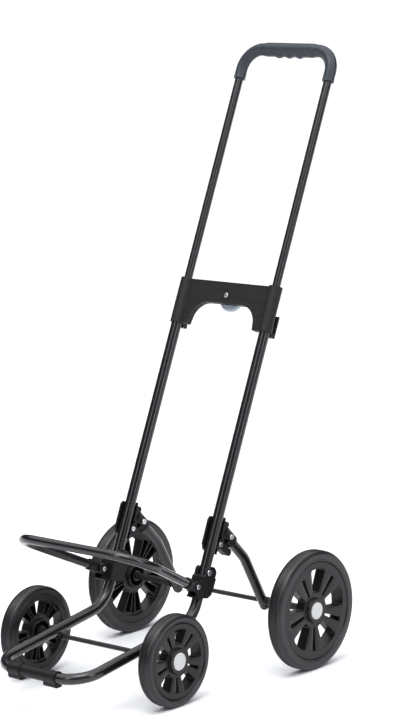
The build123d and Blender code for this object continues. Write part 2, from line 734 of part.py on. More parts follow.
CHEEKS = ((PLATFORM_EYE_X - 9.5, PLATFORM_EYE_X - 5.55), (PLATFORM_EYE_X + 5.55, PLATFORM_EYE_X + 9.5))
STOP_WALL = -13.9
with BuildPart() as low_bracket:
    body = [
        (STOP_WALL, 42), (STOP_WALL, 75), (-9, 79), (20, 79), (19.9, 65.2), (18, 51), (11.4, 44), (-4, 41),
    ]
    add(slab(body, TUBE_X - WRAP, TUBE_X + WRAP))
    add(slab([(0, 70), (0, 96), (13, 96), (20.6, 89.5), (20.4, 70)], TUBE_X - WRAP, TUBE_X + 9))
    add(slab([(-10.5, 70), (-10.5, 90), (-7, 93.5), (0, 93.5), (0, 70)], TUBE_X - WRAP, TUBE_X - 5))
    add(disc(LOW_BOLT, 6.4, TUBE_X, TUBE_X + WRAP))
    add(slab([(0, 78), (0, 91), (14, 91), (14, 78)], TUBE_X, TUBE_X + WRAP))
    front_wall = [(STOP_WALL, 42), (STOP_WALL, 75), (-9.2, 75), (-9.2, 42)]
    add(slab(front_wall, CHEEKS[0][0], CHEEKS[1][1]))
    ledge = [(-26, 38), (-26, 40.5), (-24, 41.5), (-9.2, 41.5), (-9.2, 44), (-6, 44), (-9, 38)]
    add(slab(ledge, CHEEKS[0][0], CHEEKS[1][1]))
    for x_low, x_high in CHEEKS:
        cheek = [(-24.3, 66.3), (-9.2, 71), (-9.2, 40), (-24.3, 40)]
        add(slab(cheek, x_low, x_high))
        add(disc(PLATFORM_PIVOT, 10.3, x_low, x_high))
    add(slab([(-TUBE_R, 72), (-TUBE_R, 110), (-1.5, 110), (-1.5, 72)], TUBE_X, 130), mode=Mode.SUBTRACT)
    add(slab([(-2, 91.5), (-2, 110), (TUBE_R, 110), (TUBE_R, 91.5)], TUBE_X, 130), mode=Mode.SUBTRACT)
    add(main_tube_cutter, mode=Mode.SUBTRACT)
    add(cross_bore(PLATFORM_PIVOT, RIVET_R), mode=Mode.SUBTRACT)
    add(cross_bore(LOW_BOLT, RIVET_R), mode=Mode.SUBTRACT)
save_pair(low_bracket.part, "platform_bracket")


def rivet(spot, x_low, x_high, head_r=4.3):
    """Tubular rivet along X with a flanged, hollow head at each end."""
    head = 1.3
    with BuildPart() as piece:
        add(disc(spot, RIVET_R, x_low, x_high))
        add(disc(spot, head_r, x_low - head, x_low))
        add(disc(spot, head_r, x_high, x_high + head))
        fillet(piece.faces().sort_by(Axis.X)[0].edges(), 0.9)
        fillet(piece.faces().sort_by(Axis.X)[-1].edges(), 0.9)
        add(disc(spot, 1.3, x_high - 3, x_high + head + 1), mode=Mode.SUBTRACT)
        add(disc(spot, 1.3, x_low - head - 1, x_low + 3), mode=Mode.SUBTRACT)
    return piece.part


save_both(rivet(LEG_PIVOT, TUBE_X - FORK_HALF - GAP, TUBE_X + FORK_HALF + GAP), "leg_pivot_rivets")
save_both(rivet(PLATFORM_PIVOT, CHEEKS[0][0], CHEEKS[1][1]), "platform_pivot_rivets")
save_both(rivet(LOW_BOLT, TUBE_X - WRAP, TUBE_X + WRAP, 5.0), "platform_bracket_bolts")

# ---------------------------------------------------------------- bag platform
PLATFORM_ROOT_X = 102.4
PLATFORM_CORNER = (149.0, 198.0)  # (distance from the middle, reach from the pivot)
PLATFORM_CORNER_R = 54.0
SOCKET = (13.9, 27.0)
SOCKET_R = 9.6
platform_pivot = tube_point(0, PLATFORM_PIVOT[1], PLATFORM_PIVOT[0])


def platform_point(x, reach):
    """A point of the platform's plane: distance from the middle and reach from the pivot."""
    rise = radians(PLATFORM_RISE)
    return Vector(x, platform_pivot.Y - reach * cos(rise), platform_pivot.Z + reach * sin(rise))


def arm_point(reach, hand=1):
    """A point on the centre line of one platform arm; the arms spread towards the front."""
    spread = (PLATFORM_CORNER[0] - PLATFORM_ROOT_X) / PLATFORM_CORNER[1]
    return platform_point(hand * (PLATFORM_ROOT_X + spread * reach), reach)


ARM_START = SOCKET[0] + 1.5
platform_route = [
    arm_point(ARM_START, -1),
    platform_point(-PLATFORM_CORNER[0], PLATFORM_CORNER[1]),
    platform_point(PLATFORM_CORNER[0], PLATFORM_CORNER[1]),
    arm_point(ARM_START),
]
platform_tube = bent_tube(platform_route, PLATFORM_CORNER_R, PLATFORM_R, PLATFORM_R - 1.3)
save(platform_tube, "platform_tube")

EYE_HALF = 5.2
with BuildPart() as platform_eye:
    pivot_v, pivot_s = PLATFORM_PIVOT
    eye_x = (PLATFORM_EYE_X - EYE_HALF, PLATFORM_EYE_X + EYE_HALF)
    add(disc(PLATFORM_PIVOT, 9.5, *eye_x))
    heel = [(pivot_v, 56), (pivot_v, 46.5), (STOP_WALL - GAP, 46.5), (STOP_WALL - GAP, 56)]
    add(slab(heel, *eye_x))
    neck = [(pivot_v, 49.5), (pivot_v, 62.5), (pivot_v - 15, 62.5), (pivot_v - 15, 49.8)]
    add(slab(neck, *eye_x))
    add(rod(arm_point(SOCKET[0]), arm_point(SOCKET[1]), SOCKET_R))
    add(rod(arm_point(ARM_START), arm_point(SOCKET[1] + 9), PLATFORM_R), mode=Mode.SUBTRACT)
    add(cross_bore(PLATFORM_PIVOT, RIVET_R + RUN), mode=Mode.SUBTRACT)
save_pair(platform_eye.part, "platform_eye")

# ---------------------------------------------------------------- folding rear legs
LEG_FOOT = 19.0  # how far the leg reaches below the rear axle
SLEEVE = (0.4, 33.0)
SLEEVE_R_LEG = 12.0
STUB = 27.0
STUB_R = 6.0
LEG_BOLT = along_leg(16.2)
rear_axle_spot = Vector(TUBE_X, REAR_AXLE_Y, REAR_WHEEL["r"])
shin = (rear_axle_spot - LEG_KNEE).normalized()
leg_route = [leg_top + LEG_RUN * 2, LEG_KNEE, rear_axle_spot + shin * (LEG_FOOT - LEG_R)]
with BuildPart() as leg_tube:
    add(bent_tube(leg_route, 60, LEG_R, LEG_BORE))
    add(cross_bore(LEG_BOLT, RIVET_R), mode=Mode.SUBTRACT)
    across = (rear_axle_spot - Vector(20, 0, 0), rear_axle_spot + Vector(20, 0, 0))
    add(rod(*across, AXLE_R), mode=Mode.SUBTRACT)
save_pair(leg_tube.part, "leg_tube")

with BuildPart() as leg_plug:
    foot_end = rear_axle_spot + shin * (LEG_FOOT - LEG_R)
    with Locations(foot_end):
        Sphere(LEG_R)
    split(bisect_by=Plane(origin=foot_end, z_dir=shin), keep=Keep.TOP)
    add(rod(foot_end - shin * 4, foot_end, LEG_BORE))
    add(rod(*across, AXLE_R + 1), mode=Mode.SUBTRACT)
save_both(leg_plug.part, "leg_end_plugs")

stub_tip = tube_point(TUBE_X, LEG_PIVOT[1], LEG_PIVOT[0]) + Vector(0, 0.7547, -0.6561) * STUB
stub_spot = (
    (stub_tip - tube_point(TUBE_X, 0)).dot(BEHIND),
    (stub_tip - tube_point(TUBE_X, 0)).dot(UP_TUBE),
)
stub_run = Vector(stub_spot[0] - LEG_PIVOT[0], stub_spot[1] - LEG_PIVOT[1]).normalized()
stub_side = Vector(-stub_run.Y, stub_run.X) * STUB_R
FORK = (TUBE_X - FORK_HALF, TUBE_X + FORK_HALF)
THROAT = (TUBE_X - LUG_HALF - GAP, TUBE_X + LUG_HALF + GAP)
with BuildPart() as leg_fitting:
    sleeve_ends = [tube_point(TUBE_X, s, v) for v, s in (along_leg(SLEEVE[0]), along_leg(SLEEVE[1]))]
    add(rod(*sleeve_ends, SLEEVE_R_LEG))
    fillet(leg_fitting.edges().filter_by(GeomType.CIRCLE).sort_by(Axis.Y)[-1], 1.2)
    web = [(10.5, 139.5), (14.6, 150.5), (24, 156), (44, 146), (34, 138), (22, 130.6), (15, 129)]
    add(slab(web, *FORK))
    add(disc(LEG_PIVOT, HUB_R_LEG, *FORK))
    stub_outline = [
        (LEG_PIVOT[0] + stub_side.X, LEG_PIVOT[1] + stub_side.Y),
        (stub_spot[0] + stub_side.X, stub_spot[1] + stub_side.Y),
        (stub_spot[0] - stub_side.X, stub_spot[1] - stub_side.Y),
        (LEG_PIVOT[0] - stub_side.X, LEG_PIVOT[1] - stub_side.Y),
    ]
    add(slab(stub_outline, *FORK))
    add(disc(stub_spot, STUB_R, *FORK))
    add(disc(LEG_PIVOT, 8.4, *THROAT), mode=Mode.SUBTRACT)
    hollow = [(21.5, 141.5), (22.5, 147.6), (31.5, 144.5), (25.5, 137.5)]
    add(slab(hollow, TUBE_X + 1.5, TUBE_X + 20, 1.2), mode=Mode.SUBTRACT)
    add(slab(hollow, TUBE_X - 20, TUBE_X - 1.5, 1.2), mode=Mode.SUBTRACT)
    add(rod(leg_top + LEG_RUN * 2, leg_top + LEG_RUN * 60, LEG_R), mode=Mode.SUBTRACT)
    add(cross_bore(LEG_PIVOT, RIVET_R + RUN), mode=Mode.SUBTRACT)
    add(cross_bore(LEG_BOLT, RIVET_R), mode=Mode.SUBTRACT)
save_pair(leg_fitting.part, "leg_fitting")
leg_bolt = rivet(LEG_BOLT, TUBE_X - SLEEVE_R_LEG, TUBE_X + SLEEVE_R_LEG, 4.8)
save_both(leg_bolt, "leg_bolts")


def axle_spacer(wheel, y, start):
    """Spacer sleeve on an axle, flanged at the frame end, that keeps the wheel out."""
    end = wheel["out"] - wheel["w"] - 0.8 - GAP
    with BuildPart() as spacer:
        add(rod((start, y, wheel["r"]), (end, y, wheel["r"]), 6.0))
        add(rod((start, y, wheel["r"]), (start + 4, y, wheel["r"]), 7.6))
        add(rod((start - 1, y, wheel["r"]), (end + 1, y, wheel["r"]), AXLE_R), mode=Mode.SUBTRACT)
    return spacer.part


save_both(axle_spacer(REAR_WHEEL, REAR_AXLE_Y, TUBE_X + LEG_R), "rear_axle_spacers")
save_both(axle_spacer(FRONT_WHEEL, FRONT_AXLE_Y, saddle_x + SADDLE_HALF), "front_axle_spacers")
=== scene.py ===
"""Looks of the folding four-wheel trolley frame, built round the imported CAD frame.

Every length is in metres, in the CAD frame: +Z up, -Y the front, +X the right-hand side.
Tyres, wheel centres, hub caps and the grip are modelled here in finer detail. The other CAD nodes
are shown as they are, with a procedural finish.
"""
import json
import math

import bmesh
import bpy
from mathutils import Matrix, Vector


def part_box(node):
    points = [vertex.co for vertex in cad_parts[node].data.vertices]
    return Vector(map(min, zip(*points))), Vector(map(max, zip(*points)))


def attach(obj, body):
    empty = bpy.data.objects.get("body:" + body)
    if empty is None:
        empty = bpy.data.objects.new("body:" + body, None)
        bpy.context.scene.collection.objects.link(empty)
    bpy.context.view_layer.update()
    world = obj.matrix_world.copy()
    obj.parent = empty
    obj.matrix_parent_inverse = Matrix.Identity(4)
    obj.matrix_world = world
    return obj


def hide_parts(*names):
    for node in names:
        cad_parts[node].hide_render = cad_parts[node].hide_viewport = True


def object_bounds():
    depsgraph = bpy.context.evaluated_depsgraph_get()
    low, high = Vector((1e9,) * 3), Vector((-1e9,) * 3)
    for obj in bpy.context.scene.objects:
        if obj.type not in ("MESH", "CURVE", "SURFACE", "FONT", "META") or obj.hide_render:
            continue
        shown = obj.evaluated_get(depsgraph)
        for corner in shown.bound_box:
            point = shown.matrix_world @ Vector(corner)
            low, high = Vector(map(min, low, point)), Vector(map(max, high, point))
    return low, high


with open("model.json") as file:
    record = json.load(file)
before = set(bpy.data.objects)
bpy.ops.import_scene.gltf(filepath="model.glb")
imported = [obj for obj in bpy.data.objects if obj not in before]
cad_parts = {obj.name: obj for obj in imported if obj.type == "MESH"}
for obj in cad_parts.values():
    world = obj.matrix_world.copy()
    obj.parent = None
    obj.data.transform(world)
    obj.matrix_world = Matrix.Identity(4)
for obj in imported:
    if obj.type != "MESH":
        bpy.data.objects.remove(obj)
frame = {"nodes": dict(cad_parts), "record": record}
cad_low, cad_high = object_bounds()
MM = 0.001

# ---------------------------------------------------------------- finishes


class Finish:
    """A procedural material: colour mottle, uneven gloss, fine relief and softened edges."""

    def __init__(self, name, colour, metallic=0.0):
        self.material = bpy.data.materials.new(name)
        self.material.use_nodes = True
        self.tree = self.material.node_tree
        self.shader = self.tree.nodes["Principled BSDF"]
        self.shader.inputs["Base Color"].default_value = (*colour, 1.0)
        self.shader.inputs["Metallic"].default_value = metallic
        self.colour = colour
        self.place = self.tree.nodes.new("ShaderNodeTexCoord").outputs["Object"]

    def noise(self, scale, detail=3.0, stretch=(1.0, 1.0, 1.0)):
        """Noise in object space; scale is in features per metre."""
        mapping = self.tree.nodes.new("ShaderNodeMapping")
        mapping.inputs["Scale"].default_value = stretch
        texture = self.tree.nodes.new("ShaderNodeTexNoise")
        texture.inputs["Scale"].default_value = scale
        texture.inputs["Detail"].default_value = detail
        self.tree.links.new(self.place, mapping.inputs["Vector"])
        self.tree.links.new(mapping.outputs["Vector"], texture.inputs["Vector"])
        return texture.outputs["Fac"]

    def spread(self, factor, low, high, start=0.3, end=0.7):
        """Maps a factor from start..end on to low..high."""
        node = self.tree.nodes.new("ShaderNodeMapRange")
        node.inputs["From Min"].default_value = start
        node.inputs["From Max"].default_value = end
        node.inputs["To Min"].default_value = low
        node.inputs["To Max"].default_value = high
        self.tree.links.new(factor, node.inputs["Value"])
        return node.outputs["Result"]

    def mottle(self, second, scale, amount=1.0, stretch=(1.0, 1.0, 1.0)):
        """Blends the base colour towards a second one in soft patches."""
        factor = self.spread(self.noise(scale, 4.0, stretch), 0.0, amount)
        self.blend(second, factor)
        return self

    def blend(self, second, factor):
        """Puts a second colour over whatever already feeds the base colour."""
        mix = self.tree.nodes.new("ShaderNodeMix")
        mix.data_type = "RGBA"
        mix.inputs["A"].default_value = (*self.colour, 1.0)
        mix.inputs["B"].default_value = (*second, 1.0)
        target = self.shader.inputs["Base Color"]
        if target.is_linked:
            self.tree.links.new(target.links[0].from_socket, mix.inputs["A"])
        self.tree.links.new(factor, mix.inputs["Factor"])
        self.tree.links.new(mix.outputs["Result"], target)

    def gloss(self, low, high, scale, stretch=(1.0, 1.0, 1.0)):
        """Uneven roughness between two values."""
        varied = self.spread(self.noise(scale, 5.0, stretch), low, high)
        self.tree.links.new(varied, self.shader.inputs["Roughness"])
        return self

    def relief(self, scale, depth, strength=0.5, soften=0.0, stretch=(1.0, 1.0, 1.0)):
        """Fine surface relief of a given depth; soften rounds hard edges by that radius."""
        bump = self.tree.nodes.new("ShaderNodeBump")
        bump.inputs["Strength"].default_value = strength
        bump.inputs["Distance"].default_value = depth
        self.tree.links.new(self.noise(scale, 2.0, stretch), bump.inputs["Height"])
        if soften:
            bevel = self.tree.nodes.new("ShaderNodeBevel")
            bevel.samples = 4
            bevel.inputs["Radius"].default_value = soften
            self.tree.links.new(bevel.outputs["Normal"], bump.inputs["Normal"])
        self.tree.links.new(bump.outputs["Normal"], self.shader.inputs["Normal"])
        return self

    def dull(self, level):
        """Lowers the reflection of a dark moulding or paint."""
        self.shader.inputs["Specular IOR Level"].default_value = level
        return self

    def coat(self, weight, roughness):
        """A clear top layer."""
        self.shader.inputs["Coat Weight"].default_value = weight
        self.shader.inputs["Coat Roughness"].default_value = roughness
        return self


def gloss_powder_coat(name):
    """Gloss black powder coat with its faint orange peel."""
    paint = Finish(name, (0.0035, 0.0035, 0.0045)).mottle((0.006, 0.006, 0.007), 60.0)
    paint.gloss(0.20, 0.28, 90.0).coat(0.35, 0.12).dull(0.4)
    return paint.relief(700.0, 0.02 * MM, 0.2)


def satin_axle(name):
    """Dark satin bar with drawing marks along X."""
    along = (0.05, 1, 1)
    bar = Finish(name, (0.007, 0.007, 0.008)).mottle((0.014, 0.014, 0.015), 300.0, 1.0, along)
    bar.dull(0.4)
    return bar.gloss(0.30, 0.45, 500.0, along).relief(1500.0, 0.02 * MM, 0.3, 0.0, along)


def bright_zinc(name):
    """Bright zinc plate: pale metal with cloudy patches."""
    plate = Finish(name, (0.70, 0.71, 0.73), 1.0).mottle((0.50, 0.51, 0.54), 350.0)
    return plate.gloss(0.18, 0.38, 600.0).relief(1800.0, 0.02 * MM, 0.3, 0.3 * MM)


def tread_rubber(name):
    """Dark grey rubber with dust in its grain and a dull bloom."""
    rubber = Finish(name, (0.005, 0.0054, 0.0062)).mottle((0.009, 0.0095, 0.0105), 45.0)
    rubber.gloss(0.28, 0.36, 60.0).dull(0.42)
    return rubber.relief(1600.0, 0.03 * MM, 0.15)


def wheel_moulding(name):
    """Semi-gloss black moulding with faint flow marks."""
    nylon = Finish(name, (0.005, 0.005, 0.0055)).mottle((0.009, 0.009, 0.010), 70.0)
    nylon.gloss(0.30, 0.42, 140.0).dull(0.28)
    return nylon.relief(1200.0, 0.03 * MM, 0.3, 0.5 * MM)


def pale_cap(name):
    """Pale satin moulding with slight soiling."""
    cap = Finish(name, (0.56, 0.56, 0.555)).mottle((0.47, 0.47, 0.465), 160.0)
    return cap.gloss(0.35, 0.50, 260.0).relief(1500.0, 0.04 * MM, 0.3)


def plain_nylon(name):
    """Dull black nylon for bushes and plugs."""
    nylon = Finish(name, (0.006, 0.006, 0.0065)).mottle((0.012, 0.012, 0.0125), 180.0)
    return nylon.gloss(0.45, 0.60, 300.0).dull(0.35).relief(1500.0, 0.05 * MM, 0.4, 0.3 * MM)


def soft_grip(name):
    """Blue-grey soft plastic, finely textured, with a little handling shine."""
    skin = Finish(name, (0.019, 0.0235, 0.032)).mottle((0.026, 0.031, 0.041), 55.0)
    return skin.gloss(0.38, 0.50, 80.0).dull(0.35).relief(2200.0, 0.08 * MM, 0.5)


def knob_moulding(name):
    """Light grey satin moulding."""
    knob = Finish(name, (0.37, 0.42, 0.47)).mottle((0.31, 0.36, 0.41), 200.0)
    return knob.gloss(0.30, 0.45, 300.0).relief(1400.0, 0.05 * MM, 0.35, 0.5 * MM)


def streaked_plastic(name):
    """Charcoal moulding whose grain runs across the plate."""
    plate = Finish(name, (0.0045, 0.0048, 0.0048))
    plate.mottle((0.009, 0.0095, 0.0095), 260.0, 1.0, (0.12, 1, 1))
    plate.gloss(0.46, 0.60, 400.0, (0.12, 1, 1)).dull(0.3)
    return plate.relief(1100.0, 0.10 * MM, 0.5, 0.7 * MM, (0.2, 1, 1))


def bracket_plastic(name):
    """Near-black matte moulding with a fine spark texture."""
    body = Finish(name, (0.004, 0.004, 0.0045)).mottle((0.008, 0.008, 0.0085), 120.0)
    body.gloss(0.36, 0.48, 250.0).dull(0.2)
    return body.relief(1900.0, 0.06 * MM, 0.4, 0.6 * MM)


MAKERS = {
    "black_tube": gloss_powder_coat,
    "black_axle": satin_axle,
    "zinc": bright_zinc,
    "tyre_rubber": tread_rubber,
    "wheel_plastic": wheel_moulding,
    "cap_white": pale_cap,
    "nylon_black": plain_nylon,
    "grip_soft": soft_grip,
    "knob_grey": knob_moulding,
    "bridge_plastic": streaked_plastic,
    "bracket_plastic": bracket_plastic,
}
finishes = {slot: maker(slot).material for slot, maker in MAKERS.items()}

for part in frame["record"]["subparts"]:
    cad_mesh = frame["nodes"][part["node"]].data
    cad_mesh.materials.clear()
    cad_mesh.materials.append(finishes[part["material_slot"]])

# ---------------------------------------------------------------- mesh helpers
SHARP = math.radians(38)


def finished_piece(name, bm, body, slot, *replaced):
    """Turns a bmesh into a smooth piece that rides on a body and stands for CAD nodes."""
    bmesh.ops.remove_doubles(bm, verts=bm.verts, dist=1e-6)
    bmesh.ops.recalc_face_normals(bm, faces=bm.faces)
    for face in bm.faces:
        face.smooth = True
    for edge in bm.edges:
        edge.smooth = len(edge.link_faces) == 2 and edge.calc_face_angle(0.0) < SHARP
    mesh = bpy.data.meshes.new(name)
    bm.to_mesh(mesh)
    bm.free()
    mesh.materials.append(finishes[slot])
    piece = bpy.data.objects.new(name, mesh)
    bpy.context.scene.collection.objects.link(piece)
    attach(piece, body)
    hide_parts(*replaced)
    return piece


def rings_to_faces(bm, rings, wrap):
    """Joins rings of vertices, all of one length, with quads; wrap joins the last to the first."""
    count = len(rings)
    for i in range(count if wrap else count - 1):
        near, far = rings[i], rings[(i + 1) % count]
        for j in range(len(near)):
            k = (j + 1) % len(near)
            bm.faces.new((near[j], near[k], far[k], far[j]))


DRAWN_RADIUS = 0.1  # the openings are drawn for a wheel of this radius


class Wheel:
    """Where one wheel is, read from its tyre's CAD box."""

    def __init__(self, spot, side):
        low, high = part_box(f"{spot}_tyre_{side}")
        self.body = f"{spot}_wheel_{side}"
        self.hand = 1 if side == "right" else -1
        self.radius = (high.z - low.z) / 2
        self.width = high.x - low.x
        self.outer = high.x if self.hand > 0 else low.x
        self.axle_y = (high.y + low.y) / 2
        self.axle_z = (high.z + low.z) / 2
        self.scale = self.radius / DRAWN_RADIUS

    def point(self, inward, radius, angle):
        """A point that lies inward from the outer face, at a radius and an angle about the axle."""
        x = self.outer - self.hand * inward
        y = self.axle_y + radius * math.cos(angle)
        return Vector((x, y, self.axle_z + radius * math.sin(angle)))


def lathe(wheel, profile, segments=144):
    """A closed ring turned about the axle from a closed profile of (inward, radius) points."""
    bm = bmesh.new()
    rings = []
    for i in range(segments):
        angle = 2 * math.pi * i / segments
        rings.append([bm.verts.new(wheel.point(a, r, angle)) for a, r in profile])
    rings_to_faces(bm, rings, True)
    return bm


# ---------------------------------------------------------------- tyres
RIM_RATIO = 0.82
SHOULDER = 0.26  # shoulder radius over tyre width
GROOVES = (1.5, 0.5, -0.5, -1.5)  # places across the tread, in pitches
GROOVE_PITCH = 0.145  # over tyre width
GROOVE_HALF = 0.9 * MM
GROOVE_DEPTH = 1.8 * MM
RIB_FALL = 0.4 * MM  # how far each rib's edges lie below its crown
BEAD_LINE = 0.30  # place of the sidewall line, from the rim out
LINE_HALF = 0.6 * MM
LINE_DEPTH = 0.5 * MM
BEAD_SET_BACK = 2.2 * MM  # how far the bead lies in from the sidewall
BEAD_RISE = 1.1 * MM  # height of the slope from the bead to the sidewall
BEAD_STEP = 0.3 * MM  # what is left of the set-back at the slope's top
SHOULDER_STEPS = 7


def tyre_profile(wheel):
    """Bead, sidewall with its line, round shoulder and grooved tread, then the same mirrored."""
    width, radius = wheel.width, wheel.radius
    bead = radius * RIM_RATIO
    shoulder = SHOULDER * width
    half = width / 2
    line = bead + BEAD_LINE * (radius - shoulder - bead)
    side = [(half - BEAD_SET_BACK, bead), (half - BEAD_STEP, bead + BEAD_RISE)]
    side += [(half, line - LINE_HALF), (half - LINE_DEPTH, line), (half, line + LINE_HALF)]
    for i in range(SHOULDER_STEPS):
        turn = math.pi / 2 * i / (SHOULDER_STEPS - 1)
        inward = half - shoulder + shoulder * math.cos(turn)
        side.append((inward, radius - shoulder + shoulder * math.sin(turn)))
    tread = []
    edge = radius - RIB_FALL
    for place in GROOVES:
        middle = place * GROOVE_PITCH * width
        tread.append((middle + GROOVE_HALF, edge))
        tread.append((middle, radius - GROOVE_DEPTH))
        tread.append((middle - GROOVE_HALF, edge))
        if place != GROOVES[-1]:
            tread.append((middle - GROOVE_PITCH * width / 2, radius))
    outline = side + tread + [(-a, r) for a, r in reversed(side)]
    return [(half - a, r) for a, r in outline]


# ---------------------------------------------------------------- wheel centres
SPOKE_PAIRS = 5
WINDOW_AT = math.radians(83)
WINDOW_HALF = math.radians(15.5)
HUB_R = 20.0 * MM
CAP_R = 14.3 * MM
BUSH_R = 6.5 * MM
RECESS = 6.0 * MM
DISH = 3.6 * MM  # how far the spokes sink from the rim to the hub
CROWN = 0.7 * MM  # roundness across each spoke
SPOKE_SET_BACK = 5.4 * MM  # how far the spokes' rear edges lie from the wheel's rear face
SHELL = 3.0 * MM  # thickness of each spoke's front, behind which it is hollow
POCKET_LOW, POCKET_HIGH = 9.5 * MM, 18.0 * MM  # walls of the ring-shaped hollow in the hub's back
HUB_FLOOR = 5.0 * MM  # thickness between the cap's recess and that hollow
WALL_ACROSS = 0.70  # the hollow's half width over the spoke's; its side walls are the rest
RIM_SET_BACK = 1.2 * MM
RIM_IN = 70.5 * MM  # the rear wheel's window ends here; the front wheel's is to scale
SLOT_TOP = 67.0 * MM
WINDOW_START, SLOT_START = 9 * MM, 8 * MM  # how far outside the hub each opening begins
WINDOW_CORNER, SLOT_CORNER = 3.5 * MM, 1.4 * MM
SLOT_NARROW, SLOT_FLARE = 1.7, 2.3  # half width at the hub and its growth to the rim, mm
HUB_STEP = 1.5 * MM  # ring round the hub where the dish ends
CAP_STEP = 0.4 * MM  # from the cap's recess to the hub's face
WALL_STEP = 0.4 * MM  # width of the slope at the walls of the hub's hollow and at the rim
FACE_GAP = 0.1 * MM  # how far the hub's face lies inside the wheel's outer face
HOLLOW_STEP = 0.5 * MM  # length of the slope at each end of a spoke's hollow
SPOKE_END = 2 * MM  # solid length of spoke between an opening's end and the hollow
RIM_CHAMFER = 0.9 * MM
RIM_CLEARANCE = 0.05 * MM
NEAR_RINGS = 0.05 * MM  # rings closer than this are one
TINY = 0.01 * MM
SAME = 1e-7  # radii that differ by less are equal
END_STEPS = 4  # steps round each corner of an opening
SPOKE_RINGS = 9  # rings between an opening's ends
MARGIN = 0.1 * MM  # how far past a radius the next depth starts
SPOKE_LINES = (0.0, 0.04, 0.14, 0.16, 0.33, 0.5, 0.67, 0.84, 0.86, 0.96)  # shares of a spoke's width


class Hole:
    """A round-cornered opening in the wheel's face: a radial range and a half width by radius."""

    def __init__(self, low, high, corner, half_width):
        self.low, self.high, self.corner, self.half_width = low, high, corner, half_width

    def half(self, radius):
        """Half width at a radius, drawn in at both rounded ends."""
        radius = min(max(radius, self.low), self.high)
        to_end = min(radius - self.low, self.high - radius, self.corner)
        drawn_in = self.corner - math.sqrt(self.corner**2 - (self.corner - to_end) ** 2)
        return self.half_width(radius) - drawn_in

    def stations(self):
        """Radii that trace both rounded ends."""
        turns = [math.pi / 2 * i / END_STEPS for i in range(END_STEPS + 1)]
        steps = [self.corner * (1 - math.cos(turn)) for turn in turns]
        return [self.low + s for s in steps] + [self.high - s for s in steps]

    def spans(self, near, far):
        """True if the ring between two radii lies in the opening."""
        return near >= self.low - SAME and far <= self.high + SAME


def wheel_holes(k):
    """The wide window between spoke pairs and the narrow slot within a pair."""
    window_low = HUB_R + WINDOW_START * k
    window = Hole(window_low, RIM_IN * k, WINDOW_CORNER * k, lambda r: r * WINDOW_HALF)
    slot_low, slot_high = HUB_R + SLOT_START * k, SLOT_TOP * k

    def slot_half(radius):
        along = (radius - slot_low) / (slot_high - slot_low)
        return (SLOT_NARROW + SLOT_FLARE * along) * MM * k

    return window, Hole(slot_low, slot_high, SLOT_CORNER * k, slot_half)


